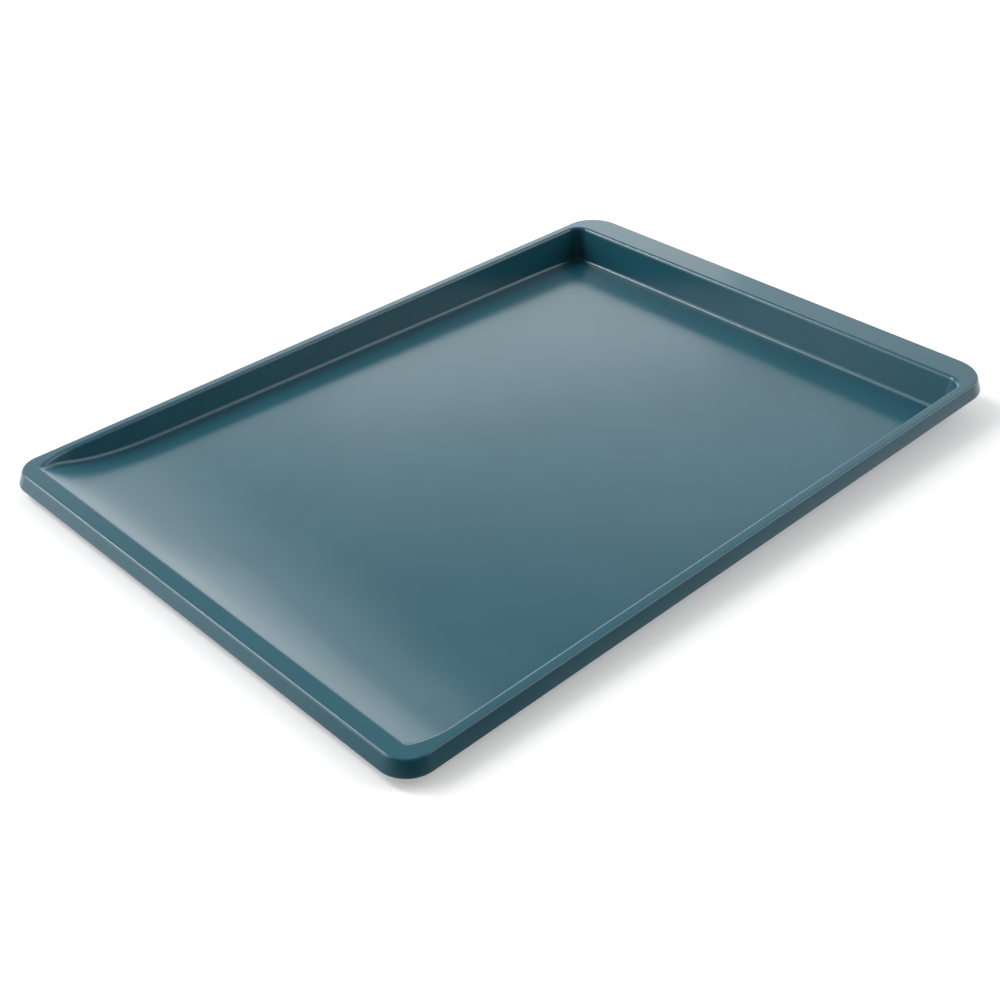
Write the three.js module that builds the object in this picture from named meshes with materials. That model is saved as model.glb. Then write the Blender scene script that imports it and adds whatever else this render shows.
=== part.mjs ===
// A cookie sheet with one ramped end, pressed from a single steel blank, with a wire rolled into its rim.
// Millimetres, +Z up. +X runs from the ramped front end to the grip at the back. The floor rests on z = 0.
import * as THREE from 'three';

// Sheet and wire
const SHEET_THICKNESS = 0.8;
const WIRE_DIAMETER = 1.5;
const WIRE_CLEARANCE = 0.3;
const WIRE_BUTT_GAP = 0.8;

// Rim, measured between the sharp corners of its bends
const RIM_LENGTH = 492.4;
const RIM_WIDTH = 343.0;
const RIM_HEIGHT_FRONT = 14.8;
const RIM_HEIGHT_BACK = 25.0;
const FRONT_RIM_WIDTH = 10.4;
const SIDE_RIM_WIDTH = 6.4;
const GRIP_RIM_WIDTH = 23.0;
const FRONT_RIM_CORNER_RADIUS = 14.5;
const BACK_RIM_CORNER_RADIUS = 22.5;

// Walls, and the ramp that takes the place of a front wall
const WALL_LEAN_DEGREES = 10.0;
const BACK_CORNER_RADIUS = 10.0;
const RUNOUT_RADIUS = 70.0;
const RUNOUT_LENGTH = 25.6;
const RUNOUT_SOFTNESS = 1.6;
const RUNOUT_SOFT_HEIGHT = 5.0;
const RAMP_RUN = 110.0;
const RAMP_POWER = 4.2;

// Bends, as radii of the upper surface
const FLOOR_BEND_RADIUS = 3.0;
const RIM_BEND_RADIUS = 3.0;
const EDGE_BEND_RADIUS = 1.5;
const LEAST_BEND_SETBACK = 0.8;
const LARGEST_SETBACK_SHARE = 0.45;

// Skirt, turned down round the rim, and the curl at its foot
const SKIRT_DROP = 10.0;
const SKIRT_SPLAY_DEGREES = 20.5;
const CURL_SWEEP_DEGREES = 270.0;

// Steps along each stretch of the outline and across each bend
const FRONT_EDGE_STEPS = 5;
const RUNOUT_STEPS = 12;
const RAMP_STEPS = 14;
const BACK_CORNER_STEPS = 9;
const BEND_STEPS = 5;
const CURL_STEPS = 10;
const WIRE_SIDES = 8;

const COAT = { color: 0x3f6672, roughness: 0.38, metalness: 0.25 };
const BARE_WIRE = { color: 0x9a9c9e, roughness: 0.35, metalness: 1.0 };

// Places worked out from the sizes above
const halfLength = RIM_LENGTH / 2;
const halfWidth = RIM_WIDTH / 2;
const frontLine = -halfLength + FRONT_RIM_WIDTH;
const backLine = halfLength - GRIP_RIM_WIDTH;
const sideLine = halfWidth - SIDE_RIM_WIDTH;
const rampFoot = frontLine + RAMP_RUN;
const wallSlope = Math.tan(THREE.MathUtils.degToRad(WALL_LEAN_DEGREES));
const splay = THREE.MathUtils.degToRad(SKIRT_SPLAY_DEGREES);
const wireRadius = WIRE_DIAMETER / 2;
const curlRadius = wireRadius + WIRE_CLEARANCE + SHEET_THICKNESS;
const skirtLength = (SKIRT_DROP - curlRadius * (1 + Math.sin(splay))) / Math.cos(splay);

// Height of the rim's upper face, which falls towards the front
function rimHeight(x) {
  return THREE.MathUtils.lerp(RIM_HEIGHT_FRONT, RIM_HEIGHT_BACK, (x + halfLength) / RIM_LENGTH);
}

// Height and slope of the floor's upper face: level, then sweeping up to the rim at the front
const rampRise = rimHeight(frontLine) - SHEET_THICKNESS;

function floorHeight(x) {
  const along = Math.max(rampFoot - x, 0) / RAMP_RUN;
  return SHEET_THICKNESS + rampRise * along ** RAMP_POWER;
}

function floorSlope(x) {
  const along = Math.max(rampFoot - x, 0) / RAMP_RUN;
  return (-rampRise * RAMP_POWER * along ** (RAMP_POWER - 1)) / RAMP_RUN;
}

// One stretch of the outline: the wall's upper edge and the rim's outer edge, seen from above
function stretch(innerEdge, outerEdge, steps) {
  const stations = [];
  for (let step = 0; step <= steps; step += 1) {
    const share = step / steps;
    const innerAlong = innerEdge.getTangent(share);
    const outerAlong = outerEdge.getTangent(share);
    stations.push({
      inner: innerEdge.getPoint(share),
      inward: new THREE.Vector2(innerAlong.y, -innerAlong.x),
      outer: outerEdge.getPoint(share),
      outward: new THREE.Vector2(-outerAlong.y, outerAlong.x),
    });
  }
  return stations;
}

// The left half of the outline, from the front edge round to the back edge
function halfOutline() {
  const quarter = Math.PI / 2;
  const runoutSweep = Math.asin(RUNOUT_LENGTH / RUNOUT_RADIUS);
  const runoutStart = frontLine + RUNOUT_LENGTH;
  const runoutY = sideLine - RUNOUT_RADIUS;
  const meetingY = runoutY + RUNOUT_RADIUS * Math.cos(runoutSweep);
  const frontX = -halfLength + FRONT_RIM_CORNER_RADIUS;
  const frontY = halfWidth - FRONT_RIM_CORNER_RADIUS;
  const backX = halfLength - BACK_RIM_CORNER_RADIUS;
  const backY = halfWidth - BACK_RIM_CORNER_RADIUS;
  const wallCornerX = backLine - BACK_CORNER_RADIUS;
  const wallCornerY = sideLine - BACK_CORNER_RADIUS;

  const frontInner = new THREE.Path();
  frontInner.moveTo(frontLine, Math.min(frontY, meetingY - RUNOUT_SOFTNESS));
  frontInner.lineTo(frontLine, meetingY);
  const frontOuter = new THREE.Path();
  frontOuter.absarc(frontX, frontY, FRONT_RIM_CORNER_RADIUS, 2 * quarter, 1.5 * quarter, true);

  const runoutInner = new THREE.Path();
  runoutInner.absarc(runoutStart, runoutY, RUNOUT_RADIUS, quarter + runoutSweep, quarter, true);
  const runoutOuter = new THREE.Path();
  runoutOuter.absarc(frontX, frontY, FRONT_RIM_CORNER_RADIUS, 1.5 * quarter, quarter, true);
  runoutOuter.lineTo(Math.max(runoutStart, frontX + LEAST_BEND_SETBACK), halfWidth);

  const sideInner = new THREE.Path();
  sideInner.moveTo(runoutStart, sideLine);
  sideInner.lineTo(rampFoot, sideLine);
  const sideOuter = new THREE.Path();
  sideOuter.moveTo(runoutOuter.getPoint(1).x, halfWidth);
  sideOuter.lineTo(rampFoot, halfWidth);

  const backInner = new THREE.Path();
  backInner.absarc(wallCornerX, wallCornerY, BACK_CORNER_RADIUS, quarter, 0, true);
  const backOuter = new THREE.Path();
  backOuter.moveTo(Math.min(wallCornerX, backX - LEAST_BEND_SETBACK), halfWidth);
  backOuter.absarc(backX, backY, BACK_RIM_CORNER_RADIUS, quarter, 0, true);

  const front = stretch(frontInner, frontOuter, FRONT_EDGE_STEPS);
  const runout = stretch(runoutInner, runoutOuter, RUNOUT_STEPS);
  const side = stretch(sideInner, sideOuter, RAMP_STEPS);
  const back = stretch(backInner, backOuter, BACK_CORNER_STEPS);

  // The wall meets the front edge in a point, so that station faces both ways
  const point = front[FRONT_EDGE_STEPS];
  const turn = 1 + point.inward.dot(runout[0].inward);
  point.inward.add(runout[0].inward).divideScalar(turn);
  return [...front, ...runout.slice(1), ...side.slice(1), ...back];
}

function mirrored(station) {
  const flip = (plan) => new THREE.Vector2(plan.x, -plan.y);
  return {
    inner: flip(station.inner),
    inward: flip(station.inward),
    outer: flip(station.outer),
    outward: flip(station.outward),
  };
}

// A round bend from one straight leg to the next, as points with the direction of the sheet at each
function bend(corner, before, after, radius, room) {
  const turn = before.angleTo(after);
  const setback = Math.min(Math.max(radius * Math.tan(turn / 2), LEAST_BEND_SETBACK), room);
  const start = corner.clone().addScaledVector(before, -setback);
  const bendRadius = setback / Math.tan(turn / 2);
  const towards = after.clone().addScaledVector(before, -Math.cos(turn)).normalize();
  const points = [];
  for (let step = 0; step <= BEND_STEPS; step += 1) {
    const angle = (turn * step) / BEND_STEPS;
    points.push({
      place: start
        .clone()
        .addScaledVector(before, bendRadius * Math.sin(angle))
        .addScaledVector(towards, bendRadius * (1 - Math.cos(angle))),
      along: before
        .clone()
        .multiplyScalar(Math.cos(angle))
        .addScaledVector(towards, Math.sin(angle)),
    });
  }
  return points;
}

// The skirt's direction at a station, and the centre of the curl at its foot
function skirtDirection(station) {
  const out = Math.sin(splay);
  return new THREE.Vector3(station.outward.x * out, station.outward.y * out, -Math.cos(splay));
}

function rimEdge(station) {
  return new THREE.Vector3(station.outer.x, station.outer.y, rimHeight(station.outer.x));
}

function curlCentre(station) {
  const under = Math.cos(splay);
  return rimEdge(station)
    .addScaledVector(skirtDirection(station), skirtLength)
    .add(new THREE.Vector3(-station.outward.x * under, -station.outward.y * under, -Math.sin(splay))
      .multiplyScalar(curlRadius));
}

// The sheet's upper surface at a station, from the floor out over the rim to the end of the curl
function section(station) {
  const { inner, inward, outward } = station;
  const wallHeight = rimHeight(inner.x) - floorHeight(inner.x);
  const softening = 1 - THREE.MathUtils.smoothstep(wallHeight, 0, RUNOUT_SOFT_HEIGHT);
  const inset = Math.max(wallHeight, 0) * wallSlope + RUNOUT_SOFTNESS * softening;

  const footX = inner.x + inward.x * inset;
  const foot = new THREE.Vector3(footX, inner.y + inward.y * inset, floorHeight(footX));
  const wallTop = new THREE.Vector3(inner.x, inner.y, rimHeight(inner.x));
  const edge = rimEdge(station);

  const acrossFloor = new THREE.Vector3(-inward.x, -inward.y, -inward.x * floorSlope(footX)).normalize();
  const upWall = wallTop.clone().sub(foot);
  const wallRoom = upWall.length() * LARGEST_SETBACK_SHARE;
  upWall.normalize();
  const acrossRim = edge.clone().sub(wallTop);
  const rimRoom = acrossRim.length() * LARGEST_SETBACK_SHARE;
  acrossRim.normalize();
  const downSkirt = skirtDirection(station);

  const points = [
    ...bend(foot, acrossFloor, upWall, FLOOR_BEND_RADIUS, wallRoom),
    ...bend(wallTop, upWall, acrossRim, RIM_BEND_RADIUS, Math.min(wallRoom, rimRoom)),
    ...bend(edge, acrossRim, downSkirt, EDGE_BEND_RADIUS, rimRoom),
  ];

  const centre = curlCentre(station);
  for (let step = 0; step <= CURL_STEPS; step += 1) {
    const angle = splay - THREE.MathUtils.degToRad((CURL_SWEEP_DEGREES * step) / CURL_STEPS);
    const out = Math.cos(angle);
    const up = Math.sin(angle);
    points.push({
      place: centre.clone()
        .add(new THREE.Vector3(outward.x * out, outward.y * out, up).multiplyScalar(curlRadius)),
      along: new THREE.Vector3(outward.x * up, outward.y * up, -out),
    });
  }
  return points;
}

// Direction along the outline at one point of a ring of points
function ringDirection(sections, index, ring) {
  const count = sections.length;
  const here = sections[index][ring].place;
  const ahead = sections[(index + 1) % count][ring].place.clone().sub(here).normalize();
  const behind = here.clone().sub(sections[(index + count - 1) % count][ring].place).normalize();
  return ahead.add(behind).normalize();
}

function geometryFrom(points, faces) {
  const geometry = new THREE.BufferGeometry().setFromPoints(points);
  geometry.setIndex(faces.flat());
  geometry.computeVertexNormals();
  return geometry;
}

// The pressed sheet: its sections joined round the outline, above and below, and the floor between them
function sheetGeometry(half) {
  const loop = [...half, ...half.map(mirrored).reverse()];
  const sections = loop.map(section);
  const stationCount = loop.length;
  const ringCount = sections[0].length;
  const lastRing = ringCount - 1;

  const upper = [];
  const lower = [];
  sections.forEach((points, index) => {
    points.forEach(({ place, along }, ring) => {
      const out = ringDirection(sections, index, ring).cross(along).normalize();
      upper.push(place);
      lower.push(place.clone().addScaledVector(out, -SHEET_THICKNESS));
    });
  });

  const faces = [];
  const at = (index, ring) => (index % stationCount) * ringCount + ring;
  const below = upper.length;
  const bothSides = (a, b, c) => faces.push([a, b, c], [below + a, below + c, below + b]);
  for (let index = 0; index < stationCount; index += 1) {
    for (let ring = 0; ring < lastRing; ring += 1) {
      bothSides(at(index, ring), at(index + 1, ring), at(index + 1, ring + 1));
      bothSides(at(index, ring), at(index + 1, ring + 1), at(index, ring + 1));
    }
    const here = at(index, lastRing);
    const ahead = at(index + 1, lastRing);
    faces.push([here, ahead, below + ahead], [here, below + ahead, below + here]);
  }

  // The floor: a fan behind the front edge, then strips from side to side
  const across = (index) => stationCount - 1 - index;
  const fan = FRONT_EDGE_STEPS + 1;
  for (let index = across(FRONT_EDGE_STEPS); index < stationCount + FRONT_EDGE_STEPS; index += 1) {
    bothSides(at(fan, 0), at(index + 1, 0), at(index, 0));
  }
  bothSides(at(fan, 0), at(across(FRONT_EDGE_STEPS), 0), at(across(fan), 0));
  for (let index = fan; index < half.length - 1; index += 1) {
    bothSides(at(index, 0), at(across(index), 0), at(across(index + 1), 0));
    bothSides(at(index, 0), at(across(index + 1), 0), at(index + 1, 0));
  }
  return geometryFrom([...upper, ...lower], faces);
}

// The rim wire: a round bar along the middle of the curl, whose two ends butt behind the grip
function wireGeometry(half) {
  const back = half[half.length - 1];
  const end = { ...back, outer: new THREE.Vector2(back.outer.x, WIRE_BUTT_GAP / 2) };
  const route = [mirrored(end), ...half.map(mirrored).reverse(), ...half, end];

  const points = [];
  route.forEach((station) => {
    const centre = curlCentre(station);
    for (let side = 0; side < WIRE_SIDES; side += 1) {
      const angle = (2 * Math.PI * side) / WIRE_SIDES;
      const out = wireRadius * Math.cos(angle);
      const offset = new THREE.Vector3(
        station.outward.x * out,
        station.outward.y * out,
        wireRadius * Math.sin(angle),
      );
      points.push(centre.clone().add(offset));
    }
  });

  const faces = [];
  const at = (index, side) => index * WIRE_SIDES + (side % WIRE_SIDES);
  const last = route.length - 1;
  for (let side = 0; side < WIRE_SIDES; side += 1) {
    for (let index = 0; index < last; index += 1) {
      faces.push([at(index, side), at(index + 1, side + 1), at(index + 1, side)]);
      faces.push([at(index, side), at(index, side + 1), at(index + 1, side + 1)]);
    }
  }
  for (let side = 1; side < WIRE_SIDES - 1; side += 1) {
    faces.push([at(0, 0), at(0, side + 1), at(0, side)]);
    faces.push([at(last, 0), at(last, side), at(last, side + 1)]);
  }
  return geometryFrom(points, faces);
}

function piece(name, geometry, finish) {
  const mesh = new THREE.Mesh(geometry, new THREE.MeshStandardMaterial(finish));
  mesh.name = name;
  return mesh;
}

const outline = halfOutline();
const cookieSheet = new THREE.Group();
cookieSheet.add(piece('pan_sheet', sheetGeometry(outline), COAT));
cookieSheet.add(piece('rim_wire', wireGeometry(outline), BARE_WIRE));

export default cookieSheet;
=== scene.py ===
"""A cookie sheet with one ramped end: teal coat on pressed steel, with a wire rolled into the rim."""
import math

import bmesh
import bpy
from mathutils import Matrix, Vector


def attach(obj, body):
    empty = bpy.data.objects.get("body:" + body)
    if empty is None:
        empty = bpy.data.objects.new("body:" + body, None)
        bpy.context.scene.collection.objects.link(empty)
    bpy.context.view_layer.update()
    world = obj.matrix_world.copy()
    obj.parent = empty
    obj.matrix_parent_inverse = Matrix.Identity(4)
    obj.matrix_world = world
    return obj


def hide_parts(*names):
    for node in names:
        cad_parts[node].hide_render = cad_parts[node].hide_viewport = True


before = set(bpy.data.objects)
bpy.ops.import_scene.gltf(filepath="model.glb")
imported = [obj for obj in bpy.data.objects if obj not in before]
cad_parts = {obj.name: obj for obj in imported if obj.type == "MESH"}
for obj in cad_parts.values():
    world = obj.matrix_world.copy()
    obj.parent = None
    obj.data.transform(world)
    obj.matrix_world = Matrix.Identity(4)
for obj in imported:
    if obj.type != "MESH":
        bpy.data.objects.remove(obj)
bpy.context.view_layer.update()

MM = 0.001

# Points nearer than this, in millimetres, count as one place. The slack is for the rim's tilt
NEAR_ENOUGH = 0.05
TILT_SLACK = 0.2

# Sheet, rim and walls in millimetres, as in the solids but for a softer run-out and a gentler end of the ramp
SHEET_THICKNESS = 0.8
RIM_LENGTH = 492.4
RIM_WIDTH = 343.0
RIM_HEIGHT_FRONT = 14.8
RIM_HEIGHT_BACK = 25.0
FRONT_RIM_WIDTH = 10.4
SIDE_RIM_WIDTH = 6.4
GRIP_RIM_WIDTH = 23.0
FRONT_RIM_CORNER_RADIUS = 14.5
BACK_RIM_CORNER_RADIUS = 22.5
WALL_LEAN_DEGREES = 10.0
BACK_CORNER_RADIUS = 10.0
RUNOUT_RADIUS = 70.0
RUNOUT_LENGTH = 25.6
RUNOUT_SOFTNESS = 2.0
RUNOUT_SOFT_HEIGHT = 6.0
RAMP_RUN = 110.0
RAMP_POWER = 3.8
SKIRT_DROP = 10.0
SKIRT_SPLAY_DEGREES = 20.5
CURL_RADIUS = 1.85
CURL_SWEEP_DEGREES = 270.0

# Bends, as the length that each takes up along the sheet on either side of its fold
FLOOR_BEND = 2.5
RIM_BEND = 2.1
FRONT_BEND = 0.8
EDGE_BEND = 1.05
BEND_SHARE_OF_WALL = 0.4

# Smoothing of the finished sheet
SMOOTH_ANGLE_DEGREES = 40
FLAT_FACE_WEIGHT = 100

# How finely the outline and the bends are divided, and how far the close rows go on past the front corners
BACK_CORNER_SEGMENTS = 16
FRONT_BEND_ROWS = 6
FRONT_CORNER_ROWS = 12
RUNOUT_ROWS = 10
RAMP_ROWS = 26
BEND_SEGMENTS = 8
CURL_RINGS = 14
ROWS_PAST_CORNER = 1.5

# The coat: two tones, roughness and the depth of its orange peel in metres
COAT_DEEP = (0.0160, 0.1020, 0.1410)
COAT_PALE = (0.0190, 0.1140, 0.1555)
COAT_ROUGHNESS = (0.17, 0.20)
COAT_PEEL_DEPTH = 0.000004
COAT_IOR = 1.5

# The wire: two tones, roughness and the depth of its streaks in metres
WIRE_DARK = (0.30, 0.30, 0.31)
WIRE_LIGHT = (0.52, 0.53, 0.54)
WIRE_ROUGHNESS = (0.28, 0.5)
WIRE_STREAK_DEPTH = 0.00002
WIRE_STREAK_STRETCH = (1, 1, 0.4)

# Grain of the finishes, as the noise's scale and detail, and the range that noise seldom leaves
COAT_CLOUDS = (18, 5)
COAT_SPECKS = (2600, 2)
COAT_PEEL = (520, 3)
WIRE_BLOOM = (90, 6)
WIRE_STREAKS = (1800, 2)
NOISE_LOW = 0.3
NOISE_HIGH = 0.7

# Paper under the sheet, in metres: its whiteness and glow, and where a painted pool of light, seen in
# reflections and bounced light, takes it from dim to lit and to bright
FLOOR_SIZE = 8
FLOOR_DROP = 0.0002
FLOOR_BOUNCE = 0.05
FLOOR_WHITE = 0.9
FLOOR_LIFT = 0.28
PAINTED_POOL_GLOW = 0.15
PAINTED_LIGHT_POOL = (-0.45, -0.05)
PAINTED_BRIGHTEST_PAPER = (-0.21, 0.14)
PAPER_SLANT = 0.35

# Soft areas: bearing, reach and edge sideways, height, reach and edge upwards, in degrees, and brightness
ROOM_LIGHT = 0.06
SOFT_AREAS = {
    "upper_half": (45, 14, 8, 33, 5.2, 3, 0.44),
    "ceiling": (45, 75, 25, 68, 29, 6, 0.55),
    "far_half": (45, 75, 25, 10, 24.8, 3.5, 1.08),
    "left_of_back": (75, 20, 12, 14, 18, 6, 0.1),
    "horizon": (66, 21, 13, 2, 7, 4, 1.2),
    "left_wall": (138, 20, 8, 28, 30, 10, 2.6),
    "right_wall": (320, 19, 11, 32, 26, 6, 2.2),
}

# Softboxes: place and the point they face in metres, breadth, height and brightness
SOFTBOXES = {
    "back_panel": ((0.496, 0.473, 0.18), (0.313, 0.057, 0.18), 0.47, 0.36, 0.9),
    "side_panel": ((0.143, 0.628, 0.17), (-0.040, 0.212, 0.17), 0.3, 0.34, 0.5),
    "key_softbox": ((-1.08, 2.63, 2.83), (0, 0, 0), 0.5, 2.1, 20.0),
}

# Camera: place and near limit in metres, lens and sensor in millimetres, shift as a share of the frame
CAMERA_PLACE = (-0.55239, -0.54309, 0.48423)
CAMERA_YAW_DEGREES = 45.381
CAMERA_PITCH_DEGREES = 34.109
CAMERA_ROLL_DEGREES = 0.402
CAMERA_LENS = 53.704
CAMERA_SENSOR = 36
CAMERA_SHIFT = -0.00352
CAMERA_NEAR_LIMIT = 0.01

# Places worked out from the sizes above
half_length = RIM_LENGTH / 2
half_width = RIM_WIDTH / 2
front_line = -half_length + FRONT_RIM_WIDTH
front_edge = front_line - FRONT_BEND
back_line = half_length - GRIP_RIM_WIDTH
side_line = half_width - SIDE_RIM_WIDTH
ramp_foot = front_line + RAMP_RUN
runout_start = front_line + RUNOUT_LENGTH
rim_middle = (RIM_HEIGHT_FRONT + RIM_HEIGHT_BACK) / 2
rim_tilt = math.asin((RIM_HEIGHT_BACK - RIM_HEIGHT_FRONT) / RIM_LENGTH)
wall_slope = math.tan(math.radians(WALL_LEAN_DEGREES))
splay = math.radians(SKIRT_SPLAY_DEGREES)


def rim_height(x):
    return rim_middle + x * math.sin(rim_tilt)


def ramp_height(x):
    along = max(ramp_foot - x, 0.0) / RAMP_RUN
    return SHEET_THICKNESS + (rim_height(front_line) - SHEET_THICKNESS) * along**RAMP_POWER


def floor_height(x):
    """The ramp's height, rounded off at the bend where it meets the front rim."""
    past = (x - front_edge) / (2 * FRONT_BEND)
    if past >= 1:
        return ramp_height(x)
    start = rim_height(front_edge)
    middle = rim_height(front_line)
    end = ramp_height(front_line + FRONT_BEND)
    return (1 - past)**2 * start + 2 * past * (1 - past) * middle + past**2 * end


def wall_top_y(x):
    """Half the width between the walls' upper edges, which close in where the walls run out into the ramp."""
    past = max(runout_start - x, 0.0)
    return side_line - RUNOUT_RADIUS + math.sqrt(RUNOUT_RADIUS**2 - past**2)


def wall_inset(x):
    """How far the wall's foot lies inside its upper edge."""
    height = max(rim_height(x) - floor_height(x), 0.0)
    share = min(height / RUNOUT_SOFT_HEIGHT, 1.0)
    softening = 1.0 - share * share * (3.0 - 2.0 * share)
    return height * wall_slope + RUNOUT_SOFTNESS * softening


def wall_length(x):
    return math.hypot(wall_inset(x), rim_height(x) - floor_height(x))


corner_inset = wall_inset(back_line)
foot_corner_radius = BACK_CORNER_RADIUS - corner_inset
wall_corner = Vector((back_line - BACK_CORNER_RADIUS, side_line - BACK_CORNER_RADIUS, 0.0))
back_corner = Vector((half_length - BACK_RIM_CORNER_RADIUS, half_width - BACK_RIM_CORNER_RADIUS, 0.0))
front_corner = Vector((-half_length + FRONT_RIM_CORNER_RADIUS, half_width - FRONT_RIM_CORNER_RADIUS, 0.0))

# Rows across the ramp, close together where the walls run out
bend_rows = [front_edge + step * 2 * FRONT_BEND / FRONT_BEND_ROWS for step in range(FRONT_BEND_ROWS + 1)]
corner_rows = [bend_rows[-1] + step * (front_corner.x - bend_rows[-1] + ROWS_PAST_CORNER) / FRONT_CORNER_ROWS
               for step in range(1, FRONT_CORNER_ROWS + 1)]
runout_rows = [corner_rows[-1] + step * (runout_start - corner_rows[-1]) / RUNOUT_ROWS
               for step in range(1, RUNOUT_ROWS + 1)]
ramp_rows = [runout_start + step * (ramp_foot - runout_start) / RAMP_ROWS
             for step in range(1, RAMP_ROWS + 1)]
rows = bend_rows + corner_rows + runout_rows + ramp_rows


# Edit mode helpers
def select_points(sheet, points):
    """Selects these points of the mesh in edit mode and nothing else."""
    bpy.ops.mesh.select_mode(type="VERT")
    bpy.ops.mesh.select_all(action="DESELECT")
    form = bmesh.from_edit_mesh(sheet.data)
    form.verts.ensure_lookup_table()
    for point in points:
        form.verts[point].select_set(True)
    form.select_flush_mode()
    bmesh.update_edit_mesh(sheet.data)


def selected_points(sheet):
    form = bmesh.from_edit_mesh(sheet.data)
    return [vert.index for vert in form.verts if vert.select]


def places(sheet, points):
    form = bmesh.from_edit_mesh(sheet.data)
    form.verts.ensure_lookup_table()
    return {point: form.verts[point].co / MM for point in points}


def all_points(sheet):
    return range(len(bmesh.from_edit_mesh(sheet.data).verts))


def pick(sheet, points, wanted):
    """Those of the points whose place, in millimetres, wanted() accepts."""
    return [point for point, place in places(sheet, points).items() if wanted(place)]


def move(sheet, points, by):
    select_points(sheet, points)
    bpy.ops.transform.translate(value=Vector(by) * MM)


def stretch(sheet, points, by, about):
    select_points(sheet, points)
    bpy.ops.transform.resize(value=by, center_override=Vector(about) * MM)


def lay_in_rim_plane(sheet, points):
    """Flattens the points and tilts them into the plane of the rim, which falls towards the front."""
    stretch(sheet, points, (1, 1, 0), (0, 0, rim_middle))
    middle = Vector((0, 0, rim_middle)) * MM
    bpy.ops.transform.rotate(value=rim_tilt, orient_axis="Y", center_override=middle)


def extrude_edge(sheet):
    """Extrudes the selected edges and gives the points of the new edge."""
    bpy.ops.mesh.extrude_region()
    return selected_points(sheet)


def select_open_edges(sheet, wanted):
    """Selects the edges with a face on one side only whose middle, in millimetres, wanted() accepts."""
    bpy.ops.mesh.select_mode(type="EDGE")
    bpy.ops.mesh.select_all(action="DESELECT")
    form = bmesh.from_edit_mesh(sheet.data)
    for edge in form.edges:
        middle = (edge.verts[0].co + edge.verts[1].co) / (2 * MM)
        if edge.is_boundary and wanted(middle):
            edge.select_set(True)
    form.select_flush_mode()
    bmesh.update_edit_mesh(sheet.data)


def spread(sheet, points, start, end):
    """Widens a ring of points from one distance outside the rim's edge to another, all the way round."""
    where = places(sheet, points)
    outwards = end - start
    corners = ((front_corner, FRONT_RIM_CORNER_RADIUS, -1), (back_corner, BACK_RIM_CORNER_RADIUS, 1))
    at_corners = set()
    moves = []
    for corner, radius, end_sign in corners:
        for side in (1, -1):
            chosen = [point for point, place in where.items()
                      if (place.x - corner.x) * end_sign > -NEAR_ENOUGH
                      and place.y * side > corner.y - NEAR_ENOUGH]
            at_corners.update(chosen)
            moves.append((chosen, (radius + end) / (radius + start), (corner.x, corner.y * side, 0)))
    sides = {(-1, 0): [], (1, 0): [], (0, -1): [], (0, 1): []}
    for point, place in where.items():
        if point in at_corners:
            continue
        along_x = place.x < front_corner.x or place.x > back_corner.x
        way = (int(math.copysign(1, place.x)), 0) if along_x else (0, int(math.copysign(1, place.y)))
        sides[way].append(point)
    for chosen, growth, about in moves:
        stretch(sheet, chosen, (growth, growth, 1), about)
    for way, chosen in sides.items():
        if chosen:
            move(sheet, chosen, (way[0] * outwards, way[1] * outwards, 0))


# The pressed sheet
def add_floor():
    """The level floor with round back corners, cut into rows at the front and swept up as a ramp."""
    back_foot = back_line - corner_inset
    bpy.ops.object.select_all(action="DESELECT")
    bpy.ops.mesh.primitive_plane_add(size=1)
    sheet = bpy.context.object
    sheet.name = "pressed_sheet"
    sheet.data.name = "pressed_sheet"
    bpy.ops.transform.resize(value=((back_foot - front_edge) * MM, 2 * (side_line - corner_inset) * MM, 1))
    bpy.ops.transform.translate(value=((back_foot + front_edge) / 2 * MM, 0, SHEET_THICKNESS * MM))
    bpy.ops.object.transform_apply(location=True, rotation=True, scale=True)
    bpy.ops.object.mode_set(mode="EDIT")

    select_points(sheet, pick(sheet, all_points(sheet), lambda place: place.x > 0))
    bpy.ops.mesh.bevel(offset=foot_corner_radius * MM, segments=BACK_CORNER_SEGMENTS, affect="VERTICES")
    for row in rows[1:]:
        bpy.ops.mesh.select_all(action="SELECT")
        bpy.ops.mesh.bisect(plane_co=(row * MM, 0, 0), plane_no=(1, 0, 0))

    for row in rows:
        chosen = pick(sheet, all_points(sheet), lambda place: abs(place.x - row) < NEAR_ENOUGH)
        foot_y = wall_top_y(row) - wall_inset(row)
        move(sheet, chosen, (0, 0, floor_height(row) - SHEET_THICKNESS))
        stretch(sheet, chosen, (1, foot_y / (side_line - corner_inset), 1), (0, 0, 0))
    return sheet


def add_walls(sheet):
    """The side and back walls, from the floor up to the plane of the rim."""
    select_open_edges(sheet, lambda middle: middle.x > front_edge + NEAR_ENOUGH)
    tops = extrude_edge(sheet)
    for row in rows:
        chosen = pick(sheet, tops, lambda place: abs(place.x - row) < NEAR_ENOUGH)
        foot_y = wall_top_y(row) - wall_inset(row)
        stretch(sheet, chosen, (1, wall_top_y(row) / foot_y, 1), (0, 0, 0))
    growth = BACK_CORNER_RADIUS / foot_corner_radius
    for side in (1, -1):
        chosen = pick(sheet, tops, lambda place: place.x > wall_corner.x - NEAR_ENOUGH and place.y * side > 0)
        stretch(sheet, chosen, (growth, growth, 1), (wall_corner.x, wall_corner.y * side, 0))
    lay_in_rim_plane(sheet, tops)
    return tops


def cut_front_edge(sheet):
    """Points on the front edge, where the rim's outer corners begin."""
    for side in (1, -1):
        bpy.ops.mesh.select_mode(type="FACE")
        bpy.ops.mesh.select_all(action="DESELECT")
        form = bmesh.from_edit_mesh(sheet.data)
        for face in form.faces:
            face.select_set(face.calc_center_median().x / MM < rows[1])
        bmesh.update_edit_mesh(sheet.data)
        bpy.ops.mesh.bisect(plane_co=(0, side * front_corner.y * MM, 0), plane_no=(0, 1, 0))


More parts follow.
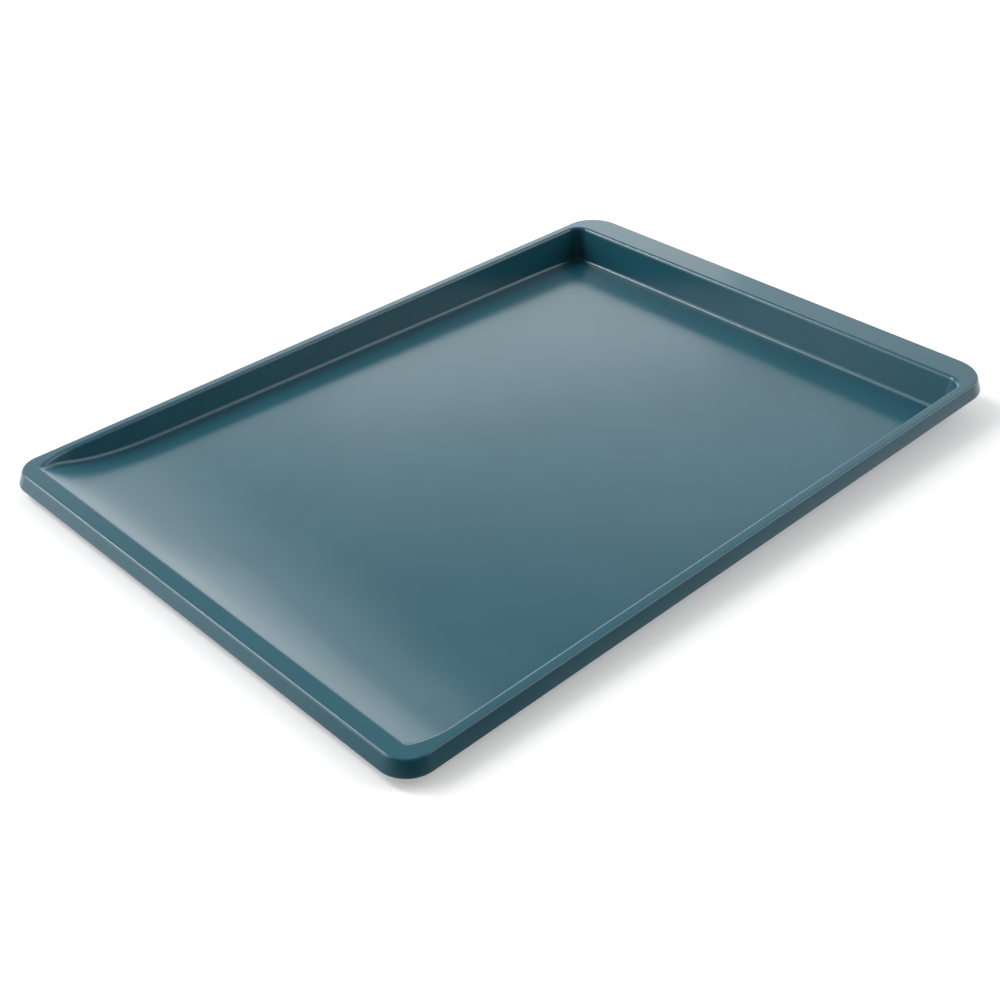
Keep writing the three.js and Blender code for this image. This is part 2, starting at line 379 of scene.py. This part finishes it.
def add_rim(sheet):
    """The flat rim, from the walls and the ramp's edge out to a round-cornered edge, with the wide grip."""
    select_open_edges(sheet, lambda middle: True)
    edge = extrude_edge(sheet)

    where = places(sheet, edge)
    placed = set()
    for side in (1, -1):
        on_front = sorted((point for point in edge
                           if where[point].x < front_edge + NEAR_ENOUGH and where[point].y * side > 0),
                          key=lambda point: where[point].y * side)
        beside = sorted((point for point in edge
                         if where[point].x > front_edge + NEAR_ENOUGH and where[point].y * side > 0),
                        key=lambda point: where[point].x)
        round_corner = on_front + beside[:FRONT_BEND_ROWS + FRONT_CORNER_ROWS]
        for step, point in enumerate(round_corner):
            angle = math.pi - (math.pi / 2) * step / (len(round_corner) - 1)
            target = Vector((front_corner.x + FRONT_RIM_CORNER_RADIUS * math.cos(angle),
                             side * (front_corner.y + FRONT_RIM_CORNER_RADIUS * math.sin(angle)),
                             where[point].z))
            move(sheet, [point], target - where[point])
        placed.update(round_corner)

        at_back = [point for point in edge if where[point].x > wall_corner.x - TILT_SLACK
                   and where[point].y * side > 0]
        growth = BACK_RIM_CORNER_RADIUS / BACK_CORNER_RADIUS
        stretch(sheet, at_back, (growth, growth, 1), (wall_corner.x, wall_corner.y * side, 0))
        shift = back_corner - wall_corner
        move(sheet, at_back, (shift.x, shift.y * side, 0))
        placed.update(at_back)

        along_side = [point for point in edge if point not in placed and where[point].y * side > 0]
        stretch(sheet, along_side, (1, 0, 1), (0, side * half_width, 0))
    lay_in_rim_plane(sheet, edge)
    return edge


def add_skirt_and_curl(sheet):
    """The skirt, turned down round the rim, and the curl at its foot that is rolled round the wire."""
    skirt_length = (SKIRT_DROP - CURL_RADIUS * (1 + math.sin(splay))) / math.cos(splay)
    centre_out = skirt_length * math.sin(splay) - CURL_RADIUS * math.cos(splay)
    centre_up = -skirt_length * math.cos(splay) - CURL_RADIUS * math.sin(splay)
    out, up = 0.0, 0.0
    skirt = None
    for ring in range(CURL_RINGS + 1):
        angle = splay - math.radians(CURL_SWEEP_DEGREES) * ring / CURL_RINGS
        next_out = centre_out + CURL_RADIUS * math.cos(angle)
        next_up = centre_up + CURL_RADIUS * math.sin(angle)
        select_open_edges(sheet, lambda middle: True)
        points = extrude_edge(sheet)
        spread(sheet, points, out, next_out)
        move(sheet, points, (0, 0, next_up - up))
        out, up = next_out, next_up
        skirt = skirt or points
    return skirt


def weigh_bends(sheet, walls, rim, skirt):
    """Gives each fold its share of the largest bend. The bends shrink where the walls run out."""
    walls, rim, skirt = set(walls), set(rim), set(skirt)
    form = bmesh.from_edit_mesh(sheet.data)
    weight = form.edges.layers.float.new("bevel_weight_edge")
    for edge in form.edges:
        ends = {vert.index for vert in edge.verts}
        beside = {vert.index for face in edge.link_faces for vert in face.verts} - ends
        x = min(vert.co.x for vert in edge.verts) / MM
        room = BEND_SHARE_OF_WALL * wall_length(min(max(x, front_edge), back_line))
        if ends <= rim and beside & skirt:
            bend = EDGE_BEND
        elif ends <= walls and beside & rim:
            bend = min(RIM_BEND, room)
        elif not ends & (walls | rim) and beside & walls and not beside & rim:
            bend = min(FLOOR_BEND, room)
        else:
            continue
        edge[weight] = bend / FLOOR_BEND
    bmesh.update_edit_mesh(sheet.data)


def finish_sheet(sheet):
    """Rounds the bends, gives the sheet its thickness and smooths its faces."""
    bpy.ops.object.mode_set(mode="OBJECT")
    bpy.ops.object.modifier_add(type="BEVEL")
    bends = sheet.modifiers[-1]
    bends.limit_method = "WEIGHT"
    bends.width = FLOOR_BEND * MM
    bends.segments = BEND_SEGMENTS
    bends.use_clamp_overlap = False
    bpy.ops.object.modifier_apply(modifier=bends.name)
    bpy.ops.object.modifier_add(type="SOLIDIFY")
    thickness = sheet.modifiers[-1]
    thickness.thickness = SHEET_THICKNESS * MM
    thickness.offset = -1
    thickness.use_even_offset = True
    thickness.use_quality_normals = True
    bpy.ops.object.modifier_apply(modifier=thickness.name)
    bpy.ops.object.shade_smooth_by_angle(angle=math.radians(SMOOTH_ANGLE_DEGREES))
    bpy.ops.object.modifier_add(type="WEIGHTED_NORMAL")
    flats = sheet.modifiers[-1]
    flats.keep_sharp = True
    flats.weight = FLAT_FACE_WEIGHT
    bpy.ops.object.modifier_apply(modifier=flats.name)


sheet = add_floor()
cut_front_edge(sheet)
wall_points = add_walls(sheet)
rim_points = add_rim(sheet)
skirt_points = add_skirt_and_curl(sheet)
weigh_bends(sheet, wall_points, rim_points, skirt_points)
finish_sheet(sheet)


# Finishes
def add_noise(tree, scale, detail, stretch=(1, 1, 1)):
    """Noise in the piece's own coordinates, drawn out along an axis where stretch is below one."""
    place = tree.nodes.new("ShaderNodeTexCoord")
    draw_out = tree.nodes.new("ShaderNodeMapping")
    draw_out.inputs["Scale"].default_value = stretch
    noise = tree.nodes.new("ShaderNodeTexNoise")
    noise.inputs["Scale"].default_value = scale
    noise.inputs["Detail"].default_value = detail
    tree.links.new(place.outputs["Object"], draw_out.inputs["Vector"])
    tree.links.new(draw_out.outputs["Vector"], noise.inputs["Vector"])
    return noise


def add_tones(tree, noise, dark, light):
    """Turns noise into a colour between two tones."""
    tones = tree.nodes.new("ShaderNodeValToRGB")
    tones.color_ramp.elements[0].position = NOISE_LOW
    tones.color_ramp.elements[0].color = (*dark, 1)
    tones.color_ramp.elements[1].position = NOISE_HIGH
    tones.color_ramp.elements[1].color = (*light, 1)
    tree.links.new(noise.outputs["Fac"], tones.inputs["Fac"])
    return tones.outputs["Color"]


def add_spread(tree, noise, low, high):
    """Turns noise into a number between two values."""
    spread_out = tree.nodes.new("ShaderNodeMapRange")
    spread_out.inputs["From Min"].default_value = NOISE_LOW
    spread_out.inputs["From Max"].default_value = NOISE_HIGH
    spread_out.inputs["To Min"].default_value = low
    spread_out.inputs["To Max"].default_value = high
    tree.links.new(noise.outputs["Fac"], spread_out.inputs["Value"])
    return spread_out.outputs["Result"]


def add_bump(tree, noise, depth):
    """A relief of this depth, in metres."""
    bump = tree.nodes.new("ShaderNodeBump")
    bump.inputs["Distance"].default_value = depth
    tree.links.new(noise.outputs["Fac"], bump.inputs["Height"])
    return bump.outputs["Normal"]


def coat_material():
    """The baked non-stick coat: satin teal, faintly cloudy, with the orange peel of a sprayed finish."""
    material = bpy.data.materials.new("teal_coat")
    material.use_nodes = True
    tree = material.node_tree
    shader = tree.nodes["Principled BSDF"]
    shader.inputs["IOR"].default_value = COAT_IOR

    clouds = add_noise(tree, *COAT_CLOUDS)
    specks = add_noise(tree, *COAT_SPECKS)
    peel = add_noise(tree, *COAT_PEEL)
    tree.links.new(add_tones(tree, clouds, COAT_DEEP, COAT_PALE), shader.inputs["Base Color"])
    tree.links.new(add_spread(tree, specks, *COAT_ROUGHNESS), shader.inputs["Roughness"])
    tree.links.new(add_bump(tree, peel, COAT_PEEL_DEPTH), shader.inputs["Normal"])
    return material


def wire_material():
    """Bare drawn steel: grey metal with fine streaks and a duller bloom here and there."""
    material = bpy.data.materials.new("drawn_wire")
    material.use_nodes = True
    tree = material.node_tree
    shader = tree.nodes["Principled BSDF"]
    shader.inputs["Metallic"].default_value = 1.0

    bloom = add_noise(tree, *WIRE_BLOOM)
    streaks = add_noise(tree, *WIRE_STREAKS, WIRE_STREAK_STRETCH)
    tree.links.new(add_tones(tree, bloom, WIRE_DARK, WIRE_LIGHT), shader.inputs["Base Color"])
    tree.links.new(add_spread(tree, streaks, *WIRE_ROUGHNESS), shader.inputs["Roughness"])
    tree.links.new(add_bump(tree, streaks, WIRE_STREAK_DEPTH), shader.inputs["Normal"])
    return material


sheet.data.materials.clear()
sheet.data.materials.append(coat_material())
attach(sheet, "root")
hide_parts("pan_sheet")

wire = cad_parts["rim_wire"]
wire.data.materials.clear()
wire.data.materials.append(wire_material())


# Stage
def calculate(tree, operation, *values):
    """One step of arithmetic on numbers and sockets."""
    step = tree.nodes.new("ShaderNodeMath")
    step.operation = operation
    for socket, value in zip(step.inputs, values):
        if isinstance(value, (int, float)):
            socket.default_value = value
        else:
            tree.links.new(value, socket)
    return step.outputs["Value"]


def ease(tree, value, start, end, low=0.0, high=1.0):
    """Goes softly from low to high as the value goes from start to end."""
    change = tree.nodes.new("ShaderNodeMapRange")
    change.interpolation_type = "SMOOTHSTEP"
    change.inputs["From Min"].default_value = start
    change.inputs["From Max"].default_value = end
    change.inputs["To Min"].default_value = low
    change.inputs["To Max"].default_value = high
    tree.links.new(value, change.inputs["Value"])
    return change.outputs["Result"]


def floor_material():
    """White paper that keeps the shadow. A painted pool of light in its glow and colour makes the sheet
    mirror it lit on the left and dim at the near corner.
    """
    material = bpy.data.materials.new("pale_floor")
    material.use_nodes = True
    tree = material.node_tree
    shader = tree.nodes["Principled BSDF"]
    shader.inputs["Roughness"].default_value = 1.0
    shader.inputs["Specular IOR Level"].default_value = 0.0
    shader.inputs["Emission Color"].default_value = (1, 1, 1, 1)
    path = tree.nodes.new("ShaderNodeLightPath")
    place = tree.nodes.new("ShaderNodeTexCoord")
    split = tree.nodes.new("ShaderNodeSeparateXYZ")
    tree.links.new(place.outputs["Object"], split.inputs["Vector"])
    leftwards = calculate(tree, "MULTIPLY_ADD", split.outputs["X"], PAPER_SLANT, split.outputs["Y"])
    # Painted pool of light: towards the left the paper's glow and its colour for reflected and bounced rays
    # rise, in place of lamp light falling on it
    painted_light = ease(tree, leftwards, *PAINTED_LIGHT_POOL)
    mirrored = calculate(tree, "MULTIPLY", path.outputs["Is Glossy Ray"], painted_light)
    painted_brightest = calculate(tree, "MULTIPLY", mirrored, ease(tree, leftwards, *PAINTED_BRIGHTEST_PAPER))
    shown = calculate(tree, "MAXIMUM", path.outputs["Is Camera Ray"], path.outputs["Is Transmission Ray"])
    white = calculate(tree, "MAXIMUM", shown, painted_light)
    glowing = calculate(tree, "MULTIPLY", calculate(tree, "MAXIMUM", shown, mirrored), FLOOR_LIFT)
    lift = calculate(tree, "MULTIPLY_ADD", painted_brightest, PAINTED_POOL_GLOW, glowing)
    tree.links.new(ease(tree, white, 0, 1, FLOOR_BOUNCE, FLOOR_WHITE), shader.inputs["Base Color"])
    tree.links.new(lift, shader.inputs["Emission Strength"])
    return material


bpy.ops.object.select_all(action="DESELECT")
bpy.ops.mesh.primitive_plane_add(size=FLOOR_SIZE, location=(0, 0, -FLOOR_DROP))
floor = bpy.context.object
floor.name = "pale_floor"
floor.data.materials.append(floor_material())


# Studio light
def fade(tree, angle, middle, reach, softness):
    """One within reach of the middle angle, in degrees, fading to nothing across the soft edge."""
    away = calculate(tree, "SUBTRACT", angle, math.radians(middle))
    away = calculate(tree, "WRAP", away, math.pi, -math.pi)
    away = calculate(tree, "ABSOLUTE", away)
    return ease(tree, away, math.radians(reach + softness), math.radians(reach - softness))


def studio_world():
    """A dim room with soft bright areas round the sheet. The camera sees it as plain white."""
    world = bpy.data.worlds.new("studio")
    world.use_nodes = True
    tree = world.node_tree
    place = tree.nodes.new("ShaderNodeTexCoord")
    split = tree.nodes.new("ShaderNodeSeparateXYZ")
    tree.links.new(place.outputs["Generated"], split.inputs["Vector"])
    bearing = calculate(tree, "ARCTAN2", split.outputs["Y"], split.outputs["X"])
    height = calculate(tree, "ARCSINE", split.outputs["Z"])
    light = ROOM_LIGHT
    for middle, reach, side_edge, level, rise, top_edge, strength in SOFT_AREAS.values():
        across = fade(tree, bearing, middle, reach, side_edge)
        upwards = fade(tree, height, level, rise, top_edge)
        glow = calculate(tree, "MULTIPLY", across, upwards)
        light = calculate(tree, "MULTIPLY_ADD", glow, strength, light)
    path = tree.nodes.new("ShaderNodeLightPath")
    shown = tree.nodes.new("ShaderNodeMix")
    shown.inputs["B"].default_value = 1.0
    seen = calculate(tree, "MAXIMUM", path.outputs["Is Camera Ray"], path.outputs["Is Transmission Ray"])
    tree.links.new(seen, shown.inputs["Factor"])
    tree.links.new(light, shown.inputs["A"])
    tree.links.new(shown.outputs["Result"], tree.nodes["Background"].inputs["Strength"])
    tree.nodes["Background"].inputs["Color"].default_value = (1, 1, 1, 1)
    return world


def add_softbox(name, place, facing, breadth, height, glow):
    """A lamp whose face has this brightness, at a place in metres, turned towards a point."""
    bpy.ops.object.light_add(type="AREA", location=place)
    lamp = bpy.context.object
    lamp.name = name
    lamp.data.shape = "RECTANGLE"
    lamp.data.size = breadth
    lamp.data.size_y = height
    lamp.data.energy = math.pi * breadth * height * glow
    lamp.rotation_euler = (Vector(place) - Vector(facing)).to_track_quat("Z", "Y").to_euler()
    lamp.visible_camera = False


bpy.context.scene.world = studio_world()
for softbox, setting in SOFTBOXES.items():
    add_softbox(softbox, *setting)


# Camera
yaw = math.radians(CAMERA_YAW_DEGREES)
pitch = math.radians(CAMERA_PITCH_DEGREES)
roll = math.radians(CAMERA_ROLL_DEGREES)
forward = Vector((math.cos(yaw) * math.cos(pitch), math.sin(yaw) * math.cos(pitch), -math.sin(pitch)))
level_right = Vector((math.sin(yaw), -math.cos(yaw), 0))
level_up = level_right.cross(forward)
right = level_right * math.cos(roll) + level_up * math.sin(roll)
up = level_up * math.cos(roll) - level_right * math.sin(roll)
turn = Matrix((right, up, -forward)).transposed()
bpy.ops.object.camera_add(location=CAMERA_PLACE, rotation=turn.to_euler())
camera = bpy.context.object
camera.data.sensor_width = CAMERA_SENSOR
camera.data.lens = CAMERA_LENS
camera.data.shift_x = CAMERA_SHIFT
camera.data.clip_start = CAMERA_NEAR_LIMIT
bpy.context.scene.camera = camera
bpy.context.scene.view_settings.view_transform = "Standard"
